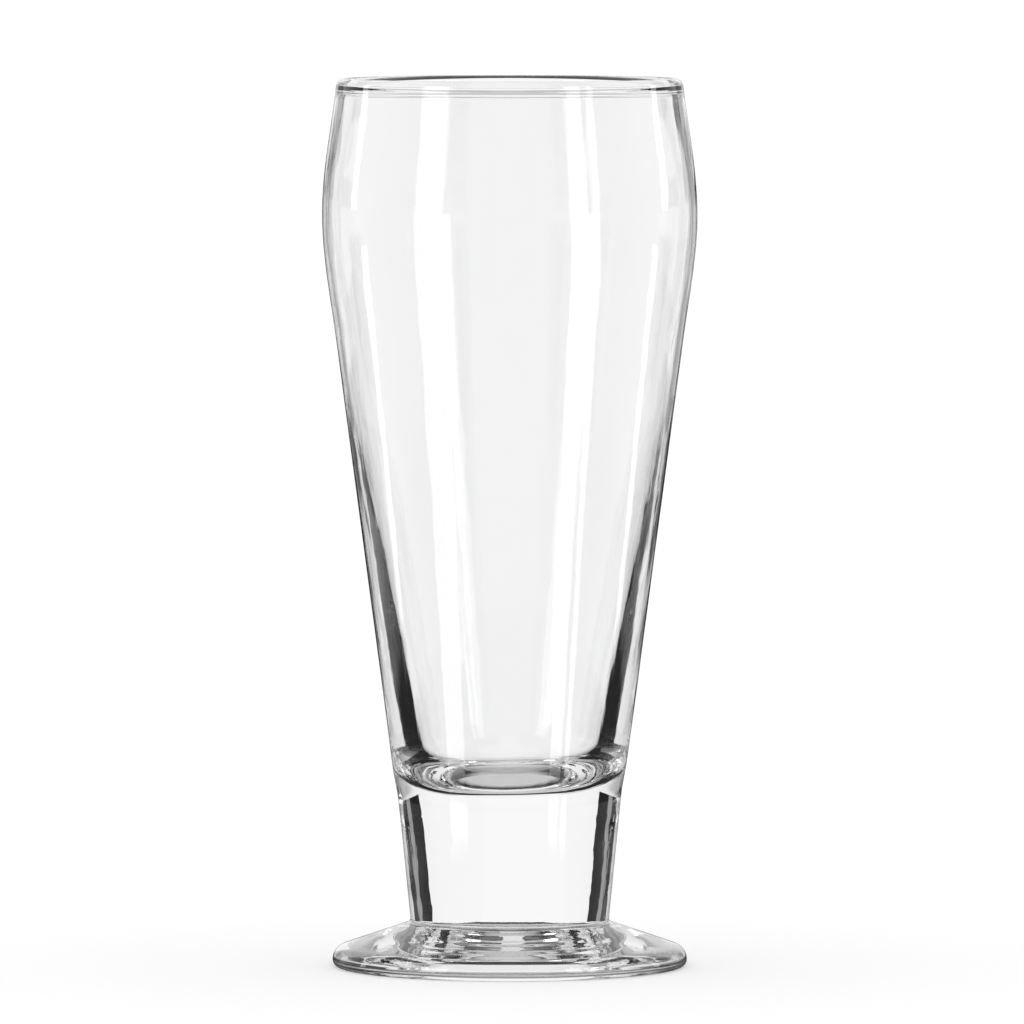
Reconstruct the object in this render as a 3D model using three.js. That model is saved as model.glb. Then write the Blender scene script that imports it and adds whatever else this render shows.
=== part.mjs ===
import * as THREE from 'three';

// A footed beer glass of clear soda-lime glass, standing on z = 0 with its axis along Z.
// It is made hot from three gathers of glass: a blown bowl, a solid shank and a pressed
// foot, fused one on another at two flat joints. All sizes are in millimetres.

// The whole glass
const glassHeight = 177;

// Outside diameters
const rimDiameter = 69;
const widestDiameter = 74.7;
const coneTopDiameter = 69.1;
const shoulderTopDiameter = 46.9;
const shankTopDiameter = 43.9;
const shankBottomDiameter = 39.6;
const footDiameter = 70.7;

// Depths below the rim: the widest place, the top of the straight cone, and where the wall
// starts to thin towards the mouth
const widestDepth = 27;
const coneTopDepth = 52;
const wallThinningDepth = 73;

// Foot: the edge is rounder above its widest line than below it, the resting ring is flat, the
// underside inside the ring is dished, and a fillet and a short collar lead up into the shank
const footEdgeLowerRadius = 1.45;
const footEdgeUpperRadius = 3;
const footConeAngle = 19;
const restingRingWidth = 3;
const undersideDish = 0.8;
const footFillet = 1;
const footCollar = 0.65;

// Shank, from the foot's joint to the bowl's joint
const shankLength = 21.4;

// Heights above the bowl's joint: the glass under the cavity, and the shoulder on the outside
const bowlBaseThickness = 5;
const shoulderStart = 2;
const shoulderRise = 8;

// Glass thicknesses, from the mouth down
const rimBeadThickness = 2.7;
const neckWall = 2;
const widestWall = 1.2;
const coneTopWall = 1.25;
const wallThinningWall = 1.8;
const shoulderWall = 6.5;

// Neck: the length below the rim bead where the wall is already thin
const neckLength = 1.8;

// Rounded corner between the cavity's wall and its floor, and the floor's slight dishing
const cavityCornerRadius = 12;
const cavityFloorDish = 0.3;

// How finely curves and circles are divided
const curveSteps = 5;
const turnSteps = 64;

const rimRadius = rimDiameter / 2;
const widestRadius = widestDiameter / 2;
const coneTopRadius = coneTopDiameter / 2;
const shoulderTopRadius = shoulderTopDiameter / 2;
const shankTopRadius = shankTopDiameter / 2;
const shankBottomRadius = shankBottomDiameter / 2;
const footRadius = footDiameter / 2;

// Heights above the table, from the foot up
const footConeSlope = Math.tan(THREE.MathUtils.degToRad(footConeAngle));
const footEdgeEnd = Math.PI / 2 - Math.atan(footConeSlope);
const footEdgeCentre = footRadius - footEdgeUpperRadius;
const footEdgeTopRadius = footEdgeCentre + footEdgeUpperRadius * Math.cos(footEdgeEnd);
const footEdgeTopHeight = footEdgeLowerRadius + footEdgeUpperRadius * Math.sin(footEdgeEnd);
const footCornerHeight = footEdgeTopHeight + (footEdgeTopRadius - shankBottomRadius) * footConeSlope;
const footJointHeight = footCornerHeight + footCollar;
const bowlJointHeight = footJointHeight + shankLength;
const cavityFloorHeight = bowlJointHeight + bowlBaseThickness;
const shoulderBottomHeight = bowlJointHeight + shoulderStart;
const shoulderTopHeight = shoulderBottomHeight + shoulderRise;

// Heights above the table, from the rim down
const widestHeight = glassHeight - widestDepth;
const coneTopHeight = glassHeight - coneTopDepth;
const wallThinningHeight = glassHeight - wallThinningDepth;

// Slopes, as change of radius for each millimetre of height
const shankSlope = (shankTopRadius - shankBottomRadius) / shankLength;
const coneSlope = (coneTopRadius - shoulderTopRadius) / (coneTopHeight - shoulderTopHeight);
const rimSlope = -0.12;

// Continues a profile by one smooth curve that leaves and arrives at the given slopes
function bendTo(path, slopeOut, end, slopeIn) {
  const start = path.currentPoint;
  const third = (end.y - start.y) / 3;
  path.bezierCurveTo(
    start.x + slopeOut * third,
    start.y + third,
    end.x - slopeIn * third,
    end.y - third,
    end.x,
    end.y,
  );
}

// Turns a profile, drawn as radius and height from axis to axis, into a closed round body
function turned(path) {
  const geometry = new THREE.LatheGeometry(path.getPoints(curveSteps), turnSteps);
  geometry.rotateX(Math.PI / 2);
  return geometry;
}

function clearGlass() {
  return new THREE.MeshStandardMaterial({
    color: 0xf4f7f6,
    roughness: 0.04,
    metalness: 0,
    transparent: true,
    opacity: 0.35,
  });
}

function piece(name, path) {
  const mesh = new THREE.Mesh(turned(path), clearGlass());
  mesh.name = name;
  return mesh;
}

// Pressed foot: a low cone with a rounded edge, resting on a flat ring
function footProfile() {
  const ringOuterRadius = footRadius - footEdgeLowerRadius;
  const ringInnerRadius = ringOuterRadius - restingRingWidth;
  const filletStartRadius = shankBottomRadius + footFillet;

  const path = new THREE.Path();
  path.moveTo(0, undersideDish);
  path.quadraticCurveTo(ringInnerRadius / 2, undersideDish, ringInnerRadius, 0);
  path.lineTo(ringOuterRadius, 0);
  path.absarc(ringOuterRadius, footEdgeLowerRadius, footEdgeLowerRadius, -Math.PI / 2, 0, false);
  path.absarc(footEdgeCentre, footEdgeLowerRadius, footEdgeUpperRadius, 0, footEdgeEnd, false);
  path.lineTo(filletStartRadius, footCornerHeight - footFillet * footConeSlope);
  path.quadraticCurveTo(shankBottomRadius, footCornerHeight, shankBottomRadius, footJointHeight);
  path.lineTo(0, footJointHeight);
  return path;
}

// Solid shank: a plain tapering block of glass between the two joints
function shankProfile() {
  const path = new THREE.Path();
  path.moveTo(0, footJointHeight);
  path.lineTo(shankBottomRadius, footJointHeight);
  path.lineTo(shankTopRadius, bowlJointHeight);
  path.lineTo(0, bowlJointHeight);
  return path;
}

// Blown bowl: up the outside from the joint, over the rim bead and down the inside
function bowlProfile() {
  const beadRadius = rimBeadThickness / 2;
  const beadHeight = glassHeight - beadRadius;
  const beadCentre = rimRadius - beadRadius;
  const neckHeight = beadHeight - neckLength;
  const neckOuterRadius = rimRadius - rimSlope * neckLength;

  const shoulderBottomRadius = shankTopRadius + shankSlope * shoulderStart;
  const thinningOuterRadius = coneTopRadius - coneSlope * (coneTopHeight - wallThinningHeight);
  const thinningRadius = thinningOuterRadius - wallThinningWall;
  const cavityBaseRadius = shoulderTopRadius - shoulderWall;
  const cavitySlope = (thinningRadius - cavityBaseRadius) / (wallThinningHeight - shoulderTopHeight);

  const cornerStart = -Math.atan(cavitySlope);
  const cornerCentreHeight = cavityFloorHeight + cavityCornerRadius;
  const wallRadiusThere = thinningRadius - cavitySlope * (wallThinningHeight - cornerCentreHeight);
  const cornerCentreRadius = wallRadiusThere - cavityCornerRadius / Math.cos(cornerStart);
  const floorCentreHeight = cavityFloorHeight - cavityFloorDish;

  const path = new THREE.Path();
  path.moveTo(0, bowlJointHeight);
  path.lineTo(shankTopRadius, bowlJointHeight);
  path.lineTo(shoulderBottomRadius, shoulderBottomHeight);
  bendTo(path, shankSlope, new THREE.Vector2(shoulderTopRadius, shoulderTopHeight), coneSlope);
  path.lineTo(coneTopRadius, coneTopHeight);
  bendTo(path, coneSlope, new THREE.Vector2(widestRadius, widestHeight), 0);
  bendTo(path, 0, new THREE.Vector2(rimRadius, beadHeight), rimSlope);
  path.absarc(beadCentre, beadHeight, beadRadius, 0, Math.PI, false);
  bendTo(path, 0, new THREE.Vector2(neckOuterRadius - neckWall, neckHeight), rimSlope);
  bendTo(path, rimSlope, new THREE.Vector2(widestRadius - widestWall, widestHeight), 0);
  bendTo(path, 0, new THREE.Vector2(coneTopRadius - coneTopWall, coneTopHeight), coneSlope);
  bendTo(path, coneSlope, new THREE.Vector2(thinningRadius, wallThinningHeight), cavitySlope);
  path.absarc(
    cornerCentreRadius,
    cornerCentreHeight,
    cavityCornerRadius,
    cornerStart,
    -Math.PI / 2,
    true,
  );
  path.quadraticCurveTo(cornerCentreRadius / 2, floorCentreHeight, 0, floorCentreHeight);
  return path;
}

const glass = new THREE.Group();
glass.add(piece('foot', footProfile()));
glass.add(piece('shank', shankProfile()));
glass.add(piece('bowl', bowlProfile()));

export default glass;
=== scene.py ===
import math

import bpy
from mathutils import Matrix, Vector, noise


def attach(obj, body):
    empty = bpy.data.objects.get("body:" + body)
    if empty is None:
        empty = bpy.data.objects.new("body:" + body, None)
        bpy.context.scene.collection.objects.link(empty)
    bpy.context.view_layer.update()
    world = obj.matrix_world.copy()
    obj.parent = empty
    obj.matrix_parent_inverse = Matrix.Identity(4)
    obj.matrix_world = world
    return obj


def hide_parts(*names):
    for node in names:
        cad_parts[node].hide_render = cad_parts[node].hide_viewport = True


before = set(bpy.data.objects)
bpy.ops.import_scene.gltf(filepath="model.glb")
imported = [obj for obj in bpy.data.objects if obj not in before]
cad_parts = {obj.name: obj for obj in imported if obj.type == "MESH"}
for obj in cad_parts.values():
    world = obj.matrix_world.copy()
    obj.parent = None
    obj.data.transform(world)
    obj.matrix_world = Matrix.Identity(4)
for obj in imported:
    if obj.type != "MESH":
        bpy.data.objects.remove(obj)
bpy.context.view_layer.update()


# Foot: a pressed disc of clear soda-lime glass with a low cone on top, a rounded edge, a flat
# ring to rest on and a slightly hollow underside with faint rings from the press. It is stuck
# on the shank while both are hot, which leaves a soft collar.
FOOT_RADIUS = 35.35
FOOT_EDGE_LOWER = 1.45
FOOT_EDGE_UPPER = 3
FOOT_CONE_ANGLE = math.radians(19)
RESTING_RING = 3
UNDERSIDE_DISH = 0.8
FOOT_FILLET = 1
FOOT_COLLAR = 0.65
SHANK_BOTTOM_RADIUS = 19.8

# Small faults of the hot glass, in metres: how far the seam leans and over what height, how
# much the skin wanders and how many times for each metre, and the rings under the foot
SEAM_HEIGHT = 0.0385
SEAM_REACH = 0.011
SEAM_LEAN = math.radians(1.3)
WANDER = 0.00002
WANDER_AROUND = 260
WANDER_ALONG = 70
STEADY_AXIS = 0.002
RING_SPACING = 0.0049
RING_DEPTH = 0.00009
RINGS_END = 0.0245
RINGS_TOP = 0.0012

# The glass itself: how far it bends light, its faint tint, how its waves are made up, how
# much they dull it, and the grit that has scuffed it
GLASS_IOR = 1.52
DEEPER_TINT = (0.988, 0.991, 0.99, 1)
PALER_TINT = (0.995, 0.997, 0.996, 1)
WAVE_DETAIL = 2
WAVE_ROUGHNESS = 0.4
DULLED_WAVES = (0.4, 0.8)
MOST_DULLED = 0.01
GRIT_PER_METRE = 900
GRIT_DETAIL = 4

# Scuff of the resting ring: its height, how far it reaches, and how rough it is
RING_SCUFF = (0, 0.00015, 0.75)

CURVE_STEPS = 20
TURNS = 320
SHARP_EDGE = math.radians(25)
MM = 0.001


def add_line(outline, end, steps=1):
    start = outline[-1]
    for i in range(1, steps + 1):
        t = i / steps
        outline.append(tuple(start[k] + (end[k] - start[k]) * t for k in (0, 1)))


def add_quadratic(outline, control, end, steps=CURVE_STEPS):
    start = outline[-1]
    for i in range(1, steps + 1):
        t = i / steps
        outline.append(tuple(
            (1 - t) ** 2 * start[k] + 2 * (1 - t) * t * control[k] + t * t * end[k]
            for k in (0, 1)
        ))


def add_arc(outline, centre, radius, start, end, steps=CURVE_STEPS):
    for i in range(1, steps + 1):
        angle = start + (end - start) * i / steps
        outline.append((
            centre[0] + radius * math.cos(angle),
            centre[1] + radius * math.sin(angle),
        ))


def hand_made(point):
    """Small faults of hot glass: a leaning seam, a wandering skin and rings on the underside"""
    radius = math.hypot(point.x, point.y)
    near_seam = math.exp(-((point.z - SEAM_HEIGHT) / SEAM_REACH) ** 2)
    lean = point.x * math.tan(SEAM_LEAN) * near_seam
    drawn = Vector((point.x * WANDER_AROUND, point.y * WANDER_AROUND, point.z * WANDER_ALONG))
    wander = (noise.noise(drawn) - 1) * WANDER
    under = max(0, 1 - point.z / RINGS_TOP) if radius < RINGS_END else 0
    ring = (0.5 - 0.5 * math.cos(2 * math.pi * radius / RING_SPACING)) * RING_DEPTH * under
    share = 1 + wander / radius if radius > STEADY_AXIS else 1
    return Vector((point.x * share, point.y * share, point.z + lean + ring))


def turned_glass(name, outline, materials, joints):
    """A closed round body; the rings whose numbers are in joints are joined by fused faces"""
    vertices = []
    rings = []
    for radius, height in outline:
        if radius == 0:
            rings.append([len(vertices)])
            vertices.append(hand_made(Vector((0, 0, height * MM))))
            continue
        rings.append(list(range(len(vertices), len(vertices) + TURNS)))
        for i in range(TURNS):
            angle = 2 * math.pi * i / TURNS
            place = Vector((radius * math.cos(angle), radius * math.sin(angle), height)) * MM
            vertices.append(hand_made(place))
    faces = []
    fused = []
    for number, (low, high) in enumerate(zip(rings, rings[1:])):
        for i in range(TURNS):
            j = (i + 1) % TURNS
            corners = [low[i % len(low)], low[j % len(low)]]
            corners += [high[j % len(high)], high[i % len(high)]]
            faces.append(list(dict.fromkeys(corners)))
            fused.append(number in joints)
    mesh = bpy.data.meshes.new(name)
    mesh.from_pydata(vertices, [], faces)
    for face, is_fused in zip(mesh.polygons, fused):
        face.use_smooth = not is_fused
        face.material_index = int(is_fused)
    mesh.set_sharp_from_angle(angle=SHARP_EDGE)
    for material in materials:
        mesh.materials.append(material)
    mesh.validate()
    body = bpy.data.objects.new(name, mesh)
    bpy.context.scene.collection.objects.link(body)
    return body


class Wiring:
    """The nodes of one material, with those that make its numbers"""

    def __init__(self, tree):
        self.nodes = tree.nodes
        self.links = tree.links

    def sum(self, operation, *values):
        """One piece of arithmetic, on numbers or on what other nodes give"""
        step = self.nodes.new("ShaderNodeMath")
        step.operation = operation
        for socket, value in zip(step.inputs, values):
            if isinstance(value, bpy.types.NodeSocket):
                self.links.new(value, socket)
            else:
                socket.default_value = value
        return step.outputs["Value"]

    def ramp(self, value, low, high, top=1, kind="LINEAR"):
        """Nought up to low, and top from high on"""
        step = self.nodes.new("ShaderNodeMapRange")
        step.interpolation_type = kind
        self.links.new(value, step.inputs["Value"])
        step.inputs["From Min"].default_value = low
        step.inputs["From Max"].default_value = high
        step.inputs["To Max"].default_value = top
        return step.outputs["Result"]

    def noise(self, place, per_metre, detail, roughness=0.5):
        step = self.nodes.new("ShaderNodeTexNoise")
        step.inputs["Scale"].default_value = per_metre
        step.inputs["Detail"].default_value = detail
        step.inputs["Roughness"].default_value = roughness
        self.links.new(place, step.inputs["Vector"])
        return step.outputs["Fac"]

    def place(self, coordinates):
        return self.nodes.new("ShaderNodeTexCoord").outputs[coordinates]

    def parts(self, place):
        split = self.nodes.new("ShaderNodeSeparateXYZ")
        self.links.new(place, split.inputs["Vector"])
        return split.outputs


def clear_glass(name, wave_size, wave_stretch, wave_height, scuff=None):
    """Colourless soda-lime glass: a fire-polished skin with drawn-out waves, dulled a little by
    handling, and with a scuff where it rests or is knocked"""
    material = bpy.data.materials.new(name)
    material.use_nodes = True
    wiring = Wiring(material.node_tree)
    nodes, links = wiring.nodes, wiring.links
    glass = nodes["Principled BSDF"]
    glass.inputs["IOR"].default_value = GLASS_IOR
    glass.inputs["Transmission Weight"].default_value = 1

    place = wiring.place("Object")
    stretch = nodes.new("ShaderNodeMapping")
    stretch.inputs["Scale"].default_value = (1, 1, 1 / wave_stretch)
    links.new(place, stretch.inputs["Vector"])
    waves = wiring.noise(stretch.outputs["Vector"], 1 / wave_size, WAVE_DETAIL, WAVE_ROUGHNESS)
    skin = nodes.new("ShaderNodeBump")
    skin.inputs["Distance"].default_value = wave_height
    links.new(waves, skin.inputs["Height"])
    links.new(skin.outputs["Normal"], glass.inputs["Normal"])

    tint = nodes.new("ShaderNodeValToRGB")
    tint.color_ramp.elements[0].color = DEEPER_TINT
    tint.color_ramp.elements[1].color = PALER_TINT
    links.new(waves, tint.inputs["Fac"])
    links.new(tint.outputs["Color"], glass.inputs["Base Color"])

    roughness = wiring.ramp(waves, *DULLED_WAVES, MOST_DULLED)
    if scuff:
        height, scuff_reach, roughest = scuff
        away = wiring.sum("ABSOLUTE", wiring.sum("SUBTRACT", wiring.parts(place)["Z"], height))
        scuffed = wiring.ramp(away, scuff_reach, 0, roughest)
        grit = wiring.noise(place, GRIT_PER_METRE, GRIT_DETAIL)
        roughness = wiring.sum("MULTIPLY_ADD", scuffed, grit, roughness)
    links.new(roughness, glass.inputs["Roughness"])
    return material


def fused_seam(name):
    """The face where two gathers have melted into one: light passes it as if it weren't there"""
    material = bpy.data.materials.new(name)
    material.use_nodes = True
    nodes, links = material.node_tree.nodes, material.node_tree.links
    nodes.remove(nodes["Principled BSDF"])
    clear = nodes.new("ShaderNodeBsdfTransparent")
    links.new(clear.outputs["BSDF"], nodes["Material Output"].inputs["Surface"])
    return material


foot_glass = clear_glass(
    "pressed_glass",
    wave_size=0.004,
    wave_stretch=1,
    wave_height=0.000006,
    scuff=RING_SCUFF,
)
seam = fused_seam("fused_seam")

cone = math.tan(FOOT_CONE_ANGLE)
edge_end = math.pi / 2 - FOOT_CONE_ANGLE
edge_centre = FOOT_RADIUS - FOOT_EDGE_UPPER
edge_top_radius = edge_centre + FOOT_EDGE_UPPER * math.cos(edge_end)
edge_top_height = FOOT_EDGE_LOWER + FOOT_EDGE_UPPER * math.sin(edge_end)
foot_corner_height = edge_top_height + (edge_top_radius - SHANK_BOTTOM_RADIUS) * cone
FOOT_JOINT = foot_corner_height + FOOT_COLLAR
ring_outer = FOOT_RADIUS - FOOT_EDGE_LOWER
ring_inner = ring_outer - RESTING_RING

foot_outline = [(0, UNDERSIDE_DISH)]
add_quadratic(foot_outline, (ring_inner / 2, UNDERSIDE_DISH), (ring_inner, 0), steps=100)
add_line(foot_outline, (ring_outer, 0), steps=3)
add_arc(foot_outline, (ring_outer, FOOT_EDGE_LOWER), FOOT_EDGE_LOWER, -math.pi / 2, 0)
add_arc(foot_outline, (edge_centre, FOOT_EDGE_LOWER), FOOT_EDGE_UPPER, 0, edge_end)
add_line(
    foot_outline,
    (SHANK_BOTTOM_RADIUS + FOOT_FILLET, foot_corner_height - FOOT_FILLET * cone),
    steps=24,
)
add_quadratic(
    foot_outline,
    (SHANK_BOTTOM_RADIUS, foot_corner_height),
    (SHANK_BOTTOM_RADIUS, FOOT_JOINT),
)
foot_outline.append((0, FOOT_JOINT))

foot = turned_glass("pressed_foot", foot_outline, [foot_glass, seam], {len(foot_outline) - 2})
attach(foot, "root")
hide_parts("foot")


# Shank: a solid block of clear glass, drawn to a slight taper. It is gathered on the bowl's
# base and carries the foot; both joints are melted together over their whole area.
SHANK_TOP_RADIUS = 21.95
SHANK_LENGTH = 21.4

BOWL_JOINT = FOOT_JOINT + SHANK_LENGTH
shank_outline = [(0, FOOT_JOINT), (SHANK_BOTTOM_RADIUS, FOOT_JOINT)]
add_line(shank_outline, (SHANK_TOP_RADIUS, BOWL_JOINT), steps=40)
shank_outline.append((0, BOWL_JOINT))

shank_glass = clear_glass("drawn_glass", wave_size=0.0022, wave_stretch=5, wave_height=0.00006)
shank_joints = {0, len(shank_outline) - 2}
shank = turned_glass("solid_shank", shank_outline, [shank_glass, seam], shank_joints)
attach(shank, "root")
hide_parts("shank")


# Bowl: blown in a mould from one gather of clear glass, thick at the base and thin at the
# bulge under the mouth. The rim is cut, then melted to a round bead that stands inwards.
GLASS_HEIGHT = 177
RIM_RADIUS = 34.5
WIDEST_RADIUS = 37.35
CONE_TOP_RADIUS = 34.55
SHOULDER_TOP_RADIUS = 23.45
WIDEST_DEPTH = 27
CONE_TOP_DEPTH = 52
THINNING_DEPTH = 73
BASE_THICKNESS = 5
SHOULDER_START = 2
SHOULDER_RISE = 8
BEAD_THICKNESS = 2.7
NECK_WALL = 2
WIDEST_WALL = 1.2
CONE_TOP_WALL = 1.25
THINNING_WALL = 1.8
SHOULDER_WALL = 6.5
NECK_LENGTH = 1.8
RIM_SLOPE = -0.12
CORNER_RADIUS = 12
FLOOR_DISH = 0.3

# Scuff round the widest line, where glasses knock together
WIDEST_SCUFF_REACH = 0.0012
WIDEST_SCUFF_ROUGHNESS = 0.08


def add_bend(outline, slope_out, end, slope_in, steps=CURVE_STEPS):
    """One smooth curve that leaves and arrives at the given changes of radius with height"""
    start = outline[-1]
    third = (end[1] - start[1]) / 3
    points = [
        start,
        (start[0] + slope_out * third, start[1] + third),
        (end[0] - slope_in * third, end[1] - third),
        end,
    ]
    for i in range(1, steps + 1):
        t = i / steps
        shares = ((1 - t) ** 3, 3 * (1 - t) ** 2 * t, 3 * (1 - t) * t * t, t ** 3)
        outline.append(tuple(sum(s * p[k] for s, p in zip(shares, points)) for k in (0, 1)))


floor_height = BOWL_JOINT + BASE_THICKNESS
shoulder_bottom = BOWL_JOINT + SHOULDER_START
shoulder_top = shoulder_bottom + SHOULDER_RISE
widest_height = GLASS_HEIGHT - WIDEST_DEPTH
cone_top_height = GLASS_HEIGHT - CONE_TOP_DEPTH
thinning_height = GLASS_HEIGHT - THINNING_DEPTH
shank_slope = (SHANK_TOP_RADIUS - SHANK_BOTTOM_RADIUS) / SHANK_LENGTH
cone_slope = (CONE_TOP_RADIUS - SHOULDER_TOP_RADIUS) / (cone_top_height - shoulder_top)
bead = BEAD_THICKNESS / 2
bead_height = GLASS_HEIGHT - bead
thinning_outside = CONE_TOP_RADIUS - cone_slope * (cone_top_height - thinning_height)
thinning_radius = thinning_outside - THINNING_WALL
cavity_base_radius = SHOULDER_TOP_RADIUS - SHOULDER_WALL
cavity_slope = (thinning_radius - cavity_base_radius) / (thinning_height - shoulder_top)
corner_start = -math.atan(cavity_slope)
corner_centre_height = floor_height + CORNER_RADIUS
corner_centre_radius = (
    thinning_radius
    - cavity_slope * (thinning_height - corner_centre_height)
    - CORNER_RADIUS / math.cos(corner_start)
)
floor_centre_height = floor_height - FLOOR_DISH

bowl_outline = [(0, BOWL_JOINT), (SHANK_TOP_RADIUS, BOWL_JOINT)]
add_line(bowl_outline, (SHANK_TOP_RADIUS + shank_slope * SHOULDER_START, shoulder_bottom), steps=4)
add_bend(bowl_outline, shank_slope, (SHOULDER_TOP_RADIUS, shoulder_top), cone_slope)
add_line(bowl_outline, (CONE_TOP_RADIUS, cone_top_height), steps=60)
add_bend(bowl_outline, cone_slope, (WIDEST_RADIUS, widest_height), 0)
add_bend(bowl_outline, 0, (RIM_RADIUS, bead_height), RIM_SLOPE)
add_arc(bowl_outline, (RIM_RADIUS - bead, bead_height), bead, 0, math.pi)
add_bend(
    bowl_outline,
    0,
    (RIM_RADIUS - RIM_SLOPE * NECK_LENGTH - NECK_WALL, bead_height - NECK_LENGTH),
    RIM_SLOPE,
    steps=8,
)
add_bend(bowl_outline, RIM_SLOPE, (WIDEST_RADIUS - WIDEST_WALL, widest_height), 0)
add_bend(bowl_outline, 0, (CONE_TOP_RADIUS - CONE_TOP_WALL, cone_top_height), cone_slope)
add_bend(bowl_outline, cone_slope, (thinning_radius, thinning_height), cavity_slope)
corner_top = (
    corner_centre_radius + CORNER_RADIUS * math.cos(corner_start),
    corner_centre_height + CORNER_RADIUS * math.sin(corner_start),
)
add_line(bowl_outline, corner_top, steps=50)
add_arc(
    bowl_outline,
    (corner_centre_radius, corner_centre_height),
    CORNER_RADIUS,
    corner_start,
    -math.pi / 2,
    steps=30,
)
add_quadratic(
    bowl_outline,
    (corner_centre_radius / 2, floor_centre_height),
    (0, floor_centre_height),
    steps=10,
)

bowl_glass = clear_glass(
    "blown_glass",
    wave_size=0.0025,
    wave_stretch=4,
    wave_height=0.00002,
    scuff=(widest_height * MM, WIDEST_SCUFF_REACH, WIDEST_SCUFF_ROUGHNESS),
)
bowl = turned_glass("blown_bowl", bowl_outline, [bowl_glass, seam], {0})
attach(bowl, "root")
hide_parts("bowl")


# Table: a wide, plain, matt white surface that runs back to the horizon. It is lit by the room,
# and a little of its own white makes it and the backdrop one even ground. Black and grey card lies
# on it round the glass, and shows only in the glass. Also only in the glass, the table glows with
# painted highlights of the soft boxes and bright strips, and is painted darker under the foot as
# the foot's shadow.
TABLE_RADIUS = 30
TABLE_SIDES = 96
TABLE_WHITE = 0.8
TABLE_ROUGHNESS = 0.9
TABLE_GLOW = 0.27
DEGREES = 180 / math.pi

# How bright the studio looks in the glass, and only there. Skin is what its outside mirrors,
# inside is what comes after a turn within the glass, and the rest is seen straight through it. The
# boxes are painted highlights, and the levels under the foot are a painted shadow of the foot.
BLACK = 0.02
EDGE_GREY = 0.35
SKIN_BACK = 1.0
SKIN_FRONT = 0.42
SKIN_BOX_HIGHLIGHTS = 3.0
INSIDE_BACK = 0.92
INSIDE_FRONT = 0.4
# Painted shadow of the foot: how bright the table under it looks after a turn within the glass,
# for steep and for flat light
FOOT_SHADOW_STEEP = 0.6
FOOT_SHADOW_FLAT = 0.03
THROUGH_TABLE = 1.0
# Painted shadow of the foot: how bright the table under its dish and under its resting ring looks
# straight through the glass
THROUGH_DISH_SHADOW = 0.4
THROUGH_RING_SHADOW = 0.85
THROUGH_SHANK_CARDS = 0.06

# Degrees round from the back of the glass: where the room is painted dimmer towards the front, the
# cards, and the painted highlights of the bright strips and the soft boxes. Turns to the left are
# below nought.
SKIN_DIMS = (25, 70)
INSIDE_DIMS = (60, 110)
EDGE_CARDS = (20, 34)
BACK_CARD_END = (16, 22)
ROUND_CARD = (-150, 118)
TABLE_STRIPS = (76, 81)
LEFT_BOX = (-137, -121)
RIGHT_BOX = (132, 141)
RIGHT_BOX_SIDE = (123, 127)

# Degrees from the back or the front, and from the middle of each quarter
CORNER_CARDS = (33, 62)
SHANK_CARDS_END = (10, 14)

# Metres from the middle of the glass
DISH_END = (0.02, 0.034)
FOOT_END = (0.038, 0.045)
RING_CARD_START = (0.045, 0.052)
RING_CARD_END = (0.135, 0.155)
SHANK_CARDS = (0.048, 0.4)
BOXES_START = (0.1, 0.14)
STRIPS = (0.36, 1.1)
ROUND_CARD_REACH = (0.38, 0.48)
EDGE_CARDS_START = (0.45, 0.55)
CORNER_CARDS_REACH = (0.8, 0.9)

# How flat light has to meet the table: to find where the foot's shadow is painted dark under the
# foot, and to find the shank's cards. Those are for light from no higher up than the shank's top.
FOOT_SHADOW_FLATNESS = (0.15, 0.45)
SHANK_FLATNESS = (0.42, 0.5)
SHANK_TOP = (0.034, 0.038)


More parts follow.
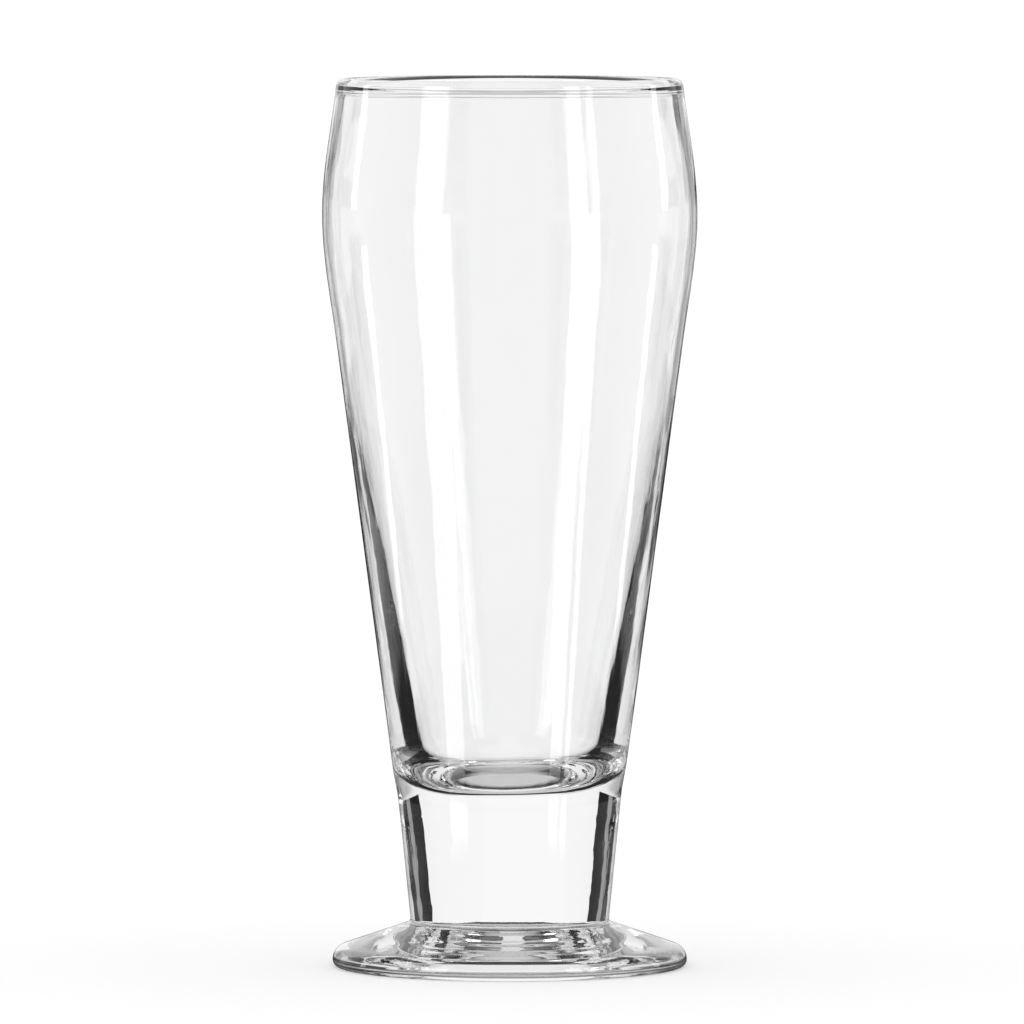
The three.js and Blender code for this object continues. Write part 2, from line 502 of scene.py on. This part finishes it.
class StudioWiring(Wiring):
    """Wiring for what stands round the glass"""

    def rise(self, value, low, high):
        """Nought below low, one above high, and smooth between"""
        return self.ramp(value, low, high, kind="SMOOTHSTEP")

    def fall(self, value, low, high):
        """One below low, nought above high, and smooth between"""
        return self.sum("SUBTRACT", 1.0, self.rise(value, low, high))

    def window(self, value, low, high, soft):
        """One from low to high, and fading out over soft on both sides"""
        risen = self.rise(value, low - soft, low)
        return self.sum("SUBTRACT", risen, self.rise(value, high, high + soft))

    def all_of(self, first, *others):
        """One where every one of them is one"""
        for other in others:
            first = self.sum("MULTIPLY", first, other)
        return first

    def blend(self, share, first, second):
        """first where share is nought, second where it is one"""
        if isinstance(first, float) and isinstance(second, float):
            return self.sum("MULTIPLY_ADD", share, second - first, first)
        return self.sum("MULTIPLY_ADD", share, self.sum("SUBTRACT", second, first), first)

    def turn(self, parts):
        """Degrees round from the back, to the right above nought and to the left below"""
        return self.sum("MULTIPLY", self.sum("ARCTAN2", parts["X"], parts["Y"]), DEGREES)

    def flatness(self):
        """Nought where light meets the surface squarely, and one where it only grazes it"""
        slant = self.nodes.new("ShaderNodeLayerWeight")
        slant.inputs["Blend"].default_value = 0.5
        return slant.outputs["Facing"]

    def path(self):
        return self.nodes.new("ShaderNodeLightPath").outputs

    def by_glass(self, path):
        return self.sum("MAXIMUM", path["Is Glossy Ray"], path["Is Transmission Ray"])

    def mirrored(self, path):
        return self.sum("GREATER_THAN", path["Glossy Depth"], 0.5)

    def by_route(self, path, through, outside, inside):
        """The level for light straight through the glass, off its outside, or turned within it"""
        entered = self.sum("GREATER_THAN", path["Transmission Depth"], 0.5)
        return self.blend(self.mirrored(path), through, self.blend(entered, outside, inside))

    def soft_box_highlights(self, turn):
        """Painted highlights of two upright soft boxes in front, the right one split by its frame;
        they show only in the glass and light nothing
        """
        left = self.window(turn, *LEFT_BOX, soft=2)
        right = self.window(turn, *RIGHT_BOX, soft=1.5)
        right = self.sum("ADD", right, self.window(turn, *RIGHT_BOX_SIDE, soft=1))
        return self.sum("ADD", left, right)

    def skin_white(self, side, edge_cards):
        white = self.blend(self.rise(side, *SKIN_DIMS), SKIN_BACK, SKIN_FRONT)
        return self.blend(edge_cards, white, EDGE_GREY)

    def inside_white(self, side, edge_cards):
        white = self.blend(self.rise(side, *INSIDE_DIMS), INSIDE_BACK, INSIDE_FRONT)
        return self.blend(edge_cards, white, EDGE_GREY)


table_white = bpy.data.materials.new("table_white")
table_white.use_nodes = True
wiring = StudioWiring(table_white.node_tree)
nodes, links = wiring.nodes, wiring.links
matt = nodes["Principled BSDF"]
matt.inputs["Base Color"].default_value = (TABLE_WHITE, TABLE_WHITE, TABLE_WHITE, 1)
matt.inputs["Roughness"].default_value = TABLE_ROUGHNESS
matt.inputs["Specular IOR Level"].default_value = 0
matt.inputs["Emission Color"].default_value = (1, 1, 1, 1)
path = wiring.path()
by_glass = wiring.by_glass(path)
seen = wiring.sum("MAXIMUM", by_glass, path["Is Camera Ray"])
links.new(wiring.sum("MULTIPLY", seen, TABLE_GLOW), matt.inputs["Emission Strength"])

place = wiring.place("Object")
distance = nodes.new("ShaderNodeVectorMath")
distance.operation = "LENGTH"
links.new(place, distance.inputs[0])
reach = distance.outputs["Value"]
turn = wiring.turn(wiring.parts(place))
side = wiring.sum("ABSOLUTE", turn)
corner = wiring.sum("PINGPONG", side, 90)
flatness = wiring.flatness()
# One under the foot, where the foot's shadow is painted on the table
under = wiring.fall(reach, *FOOT_END)
edge_cards = wiring.all_of(
    wiring.window(side, *EDGE_CARDS, soft=2),
    wiring.rise(reach, *EDGE_CARDS_START),
)

# Light off the outside of the glass, with painted highlights: the table glows where the soft boxes
# and the bright strips are mirrored
box_highlights = wiring.all_of(wiring.soft_box_highlights(turn), wiring.rise(reach, *BOXES_START))
strip_highlights = wiring.all_of(
    wiring.window(side, *TABLE_STRIPS, soft=1),
    wiring.window(reach, *STRIPS, soft=0.1),
)
round_card = wiring.all_of(
    wiring.window(turn, *ROUND_CARD, soft=8),
    wiring.fall(reach, *ROUND_CARD_REACH),
)
outside = wiring.skin_white(side, edge_cards)
outside = wiring.blend(round_card, outside, BLACK)
outside = wiring.blend(wiring.fall(side, *BACK_CARD_END), outside, BLACK)
outside = wiring.sum("MULTIPLY_ADD", wiring.sum("ADD", box_highlights, strip_highlights), SKIN_BOX_HIGHLIGHTS, outside)

# Light that has been mirrored inside the glass, with the foot's shadow painted under the foot
corner_cards = wiring.all_of(
    wiring.window(corner, *CORNER_CARDS, soft=4),
    wiring.fall(reach, *CORNER_CARDS_REACH),
)
ring_card = wiring.all_of(
    wiring.rise(reach, *RING_CARD_START),
    wiring.fall(reach, *RING_CARD_END),
)
# Painted shadow of the foot: the table under it is darker where light only grazes it
painted_foot_shadow = wiring.blend(wiring.rise(flatness, *FOOT_SHADOW_FLATNESS), FOOT_SHADOW_STEEP, FOOT_SHADOW_FLAT)
inside = wiring.inside_white(side, edge_cards)
inside = wiring.blend(wiring.sum("MAXIMUM", corner_cards, ring_card), inside, BLACK)
inside = wiring.blend(under, inside, painted_foot_shadow)

# Light straight through the glass. Four cards on the table show for light that comes down from the
# shank; the low cards that stand round the foot do the same for level light. Under the foot's dish
# and resting ring the table is painted darker, as the foot's shadow.
left_at = wiring.all_of(reach, wiring.sum("SUBTRACT", 1.0, flatness))
shank_cards = wiring.all_of(
    wiring.fall(wiring.sum("PINGPONG", corner, 45), *SHANK_CARDS_END),
    wiring.window(reach, *SHANK_CARDS, soft=0.005),
    wiring.fall(left_at, *SHANK_TOP),
    wiring.rise(flatness, *SHANK_FLATNESS),
)
# Painted shadow of the foot: darker under its dish, a little darker under its resting ring
through = wiring.blend(wiring.rise(reach, *DISH_END), THROUGH_DISH_SHADOW, THROUGH_RING_SHADOW)
through = wiring.blend(under, THROUGH_TABLE, through)
through = wiring.blend(shank_cards, through, THROUGH_SHANK_CARDS)

glow = nodes.new("ShaderNodeEmission")
links.new(wiring.by_route(path, through, outside, inside), glow.inputs["Strength"])
mixed = nodes.new("ShaderNodeMixShader")
links.new(by_glass, mixed.inputs["Fac"])
links.new(matt.outputs["BSDF"], mixed.inputs[1])
links.new(glow.outputs["Emission"], mixed.inputs[2])
links.new(mixed.outputs["Shader"], nodes["Material Output"].inputs["Surface"])

table_edge = []
for i in range(TABLE_SIDES):
    angle = 2 * math.pi * i / TABLE_SIDES
    table_edge.append((TABLE_RADIUS * math.cos(angle), TABLE_RADIUS * math.sin(angle), 0))
table_mesh = bpy.data.meshes.new("table")
table_mesh.from_pydata(table_edge, [], [list(range(TABLE_SIDES))])
table_mesh.materials.append(table_white)
table = bpy.data.objects.new("table", table_mesh)
bpy.context.scene.collection.objects.link(table)


# Cards: four low pieces of black card lean in towards the foot and give the shank its dark
# sides, and a flat grey ring of card just outside the rim gives the rim its dark far line. Only
# light that has gone straight through the glass, and isn't too slanting to a card, shows it.
LOW_CARD_EDGES = ((0.108, 0.001), (0.0902, 0.05))
LOW_CARD_HALF_WIDTH = 13.5
LOW_CARD_LEVEL = 0.015
LOW_CARD_SLANT = 0.09
QUARTER_MIDDLE = 45
CARD_STRIPE = (42.5, 47.5)
CARD_STRIPE_LEVEL = 0.35
RIM_CARD_EDGES = ((0.0348, 0.1748), (0.0366, 0.1748))
RIM_CARD_LEVEL = 0.06
RIM_CARD_SLANT = 0.7


def card_surface(name, most_slanting, level, stripe_level=None):
    """Dark card, which may have a stripe of another level down the middle of each quarter"""
    material = bpy.data.materials.new(name)
    material.use_nodes = True
    wiring = StudioWiring(material.node_tree)
    nodes, links = wiring.nodes, wiring.links
    nodes.remove(nodes["Principled BSDF"])
    path = wiring.path()
    straight = wiring.sum("SUBTRACT", wiring.by_glass(path), wiring.mirrored(path))
    squarely = wiring.sum("LESS_THAN", wiring.flatness(), most_slanting)
    met = wiring.sum("GREATER_THAN", wiring.all_of(straight, squarely), 0.5)
    dark = nodes.new("ShaderNodeEmission")
    dark.inputs["Strength"].default_value = level
    if stripe_level is not None:
        turn = wiring.turn(wiring.parts(wiring.place("Object")))
        corner = wiring.sum("PINGPONG", wiring.sum("ABSOLUTE", turn), 90)
        stripe = wiring.window(corner, *CARD_STRIPE, soft=1)
        links.new(wiring.blend(stripe, level, stripe_level), dark.inputs["Strength"])
    unseen = nodes.new("ShaderNodeBsdfTransparent")
    mixed = nodes.new("ShaderNodeMixShader")
    links.new(met, mixed.inputs["Fac"])
    links.new(unseen.outputs["BSDF"], mixed.inputs[1])
    links.new(dark.outputs["Emission"], mixed.inputs[2])
    links.new(mixed.outputs["Shader"], nodes["Material Output"].inputs["Surface"])
    return material


def bent_card(name, material, edges, middle, half_width, steps):
    """A strip of card round the glass, from one edge (distance and height) to the other"""
    corners = []
    for away, height in edges:
        for i in range(steps + 1):
            angle = math.radians(middle + half_width * (2 * i / steps - 1))
            corners.append((away * math.cos(angle), away * math.sin(angle), height))
    row = steps + 1
    mesh = bpy.data.meshes.new(name)
    mesh.from_pydata(corners, [], [[i, i + 1, i + 1 + row, i + row] for i in range(steps)])
    for face in mesh.polygons:
        face.use_smooth = True
    mesh.materials.append(material)
    card = bpy.data.objects.new(name, mesh)
    bpy.context.scene.collection.objects.link(card)


black_card = card_surface("black_card", LOW_CARD_SLANT, LOW_CARD_LEVEL, CARD_STRIPE_LEVEL)
for number in range(4):
    name = "card_" + str(number + 1)
    middle = QUARTER_MIDDLE + 90 * number
    bent_card(name, black_card, LOW_CARD_EDGES, middle, LOW_CARD_HALF_WIDTH, steps=24)
grey_card = card_surface("grey_card", RIM_CARD_SLANT, RIM_CARD_LEVEL)
bent_card("rim_card", grey_card, RIM_CARD_EDGES, middle=0, half_width=180, steps=180)


# Room: a white backdrop, black flags that give clear glass its dark lines, and two upright soft
# boxes in front. The flags and soft boxes are painted into the room for the glass only: the soft
# boxes are painted highlights that light nothing, and the camera and the table see the room evenly
# white. What the glass shows by reflection from in front is painted dimmer than what it shows
# straight through, as in a room that is dark apart from the lit backdrop.
ROOM_WHITE = 0.95
BACKDROP_WHITE = 1.0
THROUGH_RIM_FLAG = 0.6
INSIDE_BOX_HIGHLIGHTS = 2.0
INSIDE_HIGH = 0.85
INSIDE_TOP = 0.6

# Degrees above the horizon
RIM_FLAG = (13, 19)
BOXES = (-30, 26)
EDGE_CARDS_TOP = (10, 14)
HIGH_FLAG = (41, 54)
FRONT_FLAGS_RISE = (31, 54)
NECK_FLAGS_RISE = (4, 16)
FOOT_FLAGS_RISE = (3, 9)
HIGH_START = (26, 32)
TOP_START = (54, 60)

# Degrees round from the back, or for the neck's and foot's flags from the back or the front
ROOM_STRIPS = (66, 71)
HIGH_FLAG_END = (100, 120)
FRONT_FLAGS = (112, 164)
NECK_FLAGS = (29, 35)
FOOT_FLAGS = (50, 66)

world = bpy.data.worlds.new("studio")
bpy.context.scene.world = world
world.use_nodes = True
wiring = StudioWiring(world.node_tree)
background = wiring.nodes["Background"]
background.inputs["Color"].default_value = (1, 1, 1, 1)
parts = wiring.parts(wiring.place("Generated"))
turn = wiring.turn(parts)
side = wiring.sum("ABSOLUTE", turn)
corner = wiring.sum("PINGPONG", side, 90)
climb = wiring.sum("MULTIPLY", wiring.sum("ARCSINE", parts["Z"]), DEGREES)
edge_cards = wiring.all_of(
    wiring.window(side, *EDGE_CARDS, soft=2),
    wiring.fall(climb, *EDGE_CARDS_TOP),
)

# Light off the outside of the glass: painted highlights of the soft boxes and strips
upright = wiring.window(climb, *BOXES, soft=6)
box_highlights = wiring.all_of(wiring.soft_box_highlights(turn), upright)
strip_highlights = wiring.all_of(wiring.window(side, *ROOM_STRIPS, soft=1), upright)
outside = wiring.skin_white(side, edge_cards)
outside = wiring.sum("MULTIPLY_ADD", wiring.sum("ADD", box_highlights, strip_highlights), SKIN_BOX_HIGHLIGHTS, outside)

# Light that has been mirrored inside the glass: painted black flags, and the soft boxes' painted
# highlights
high_flag = wiring.all_of(
    wiring.window(climb, *HIGH_FLAG, soft=3),
    wiring.fall(side, *HIGH_FLAG_END),
)
front_flags = wiring.all_of(
    wiring.window(side, *FRONT_FLAGS, soft=3),
    wiring.window(climb, *FRONT_FLAGS_RISE, soft=3),
)
neck_flags = wiring.all_of(
    wiring.window(corner, *NECK_FLAGS, soft=2),
    wiring.window(climb, *NECK_FLAGS_RISE, soft=2),
)
foot_flags = wiring.all_of(
    wiring.window(corner, *FOOT_FLAGS, soft=2),
    wiring.window(climb, *FOOT_FLAGS_RISE, soft=2),
)
inside = wiring.inside_white(side, edge_cards)
inside = wiring.blend(wiring.rise(climb, *HIGH_START), inside, INSIDE_HIGH)
inside = wiring.blend(wiring.rise(climb, *TOP_START), inside, INSIDE_TOP)
inside = wiring.blend(wiring.sum("MAXIMUM", high_flag, front_flags), inside, BLACK)
inside = wiring.blend(wiring.sum("MAXIMUM", neck_flags, foot_flags), inside, BLACK)
inside = wiring.sum("MULTIPLY_ADD", box_highlights, INSIDE_BOX_HIGHLIGHTS, inside)

# Light straight through the glass
rim_flag = wiring.window(climb, *RIM_FLAG, soft=2)
through = wiring.blend(rim_flag, BACKDROP_WHITE, THROUGH_RIM_FLAG)

path = wiring.path()
level = wiring.by_route(path, through, outside, inside)
level = wiring.blend(wiring.by_glass(path), ROOM_WHITE, level)
level = wiring.blend(path["Is Camera Ray"], level, BACKDROP_WHITE)
wiring.links.new(level, background.inputs["Strength"])


# Camera: a long lens two and a half metres in front of the glass and a little above it, so
# that it looks slightly down and the rim and the foot show as thin ellipses.
CAMERA_DISTANCE = 2.514
CAMERA_HEIGHT = 0.2266
AIM = Vector((0.00046, 0, 0.09068))
SENSOR_WIDTH = 36
FOCAL_LENGTH = 444.55

lens = bpy.data.cameras.new("camera")
lens.sensor_width = SENSOR_WIDTH
lens.lens = FOCAL_LENGTH
lens.clip_start = 0.1
lens.clip_end = 100
camera = bpy.data.objects.new("camera", lens)
bpy.context.scene.collection.objects.link(camera)
camera.location = (AIM.x, -CAMERA_DISTANCE, CAMERA_HEIGHT)
camera.rotation_mode = "QUATERNION"
camera.rotation_quaternion = (AIM - camera.location).to_track_quat("-Z", "Y")
scene = bpy.context.scene
scene.camera = camera
scene.view_settings.view_transform = "Standard"

# Enough bounces for light to find its way out of the thick glass
scene.cycles.max_bounces = 32
scene.cycles.glossy_bounces = 24
scene.cycles.transmission_bounces = 32
scene.cycles.transparent_max_bounces = 48
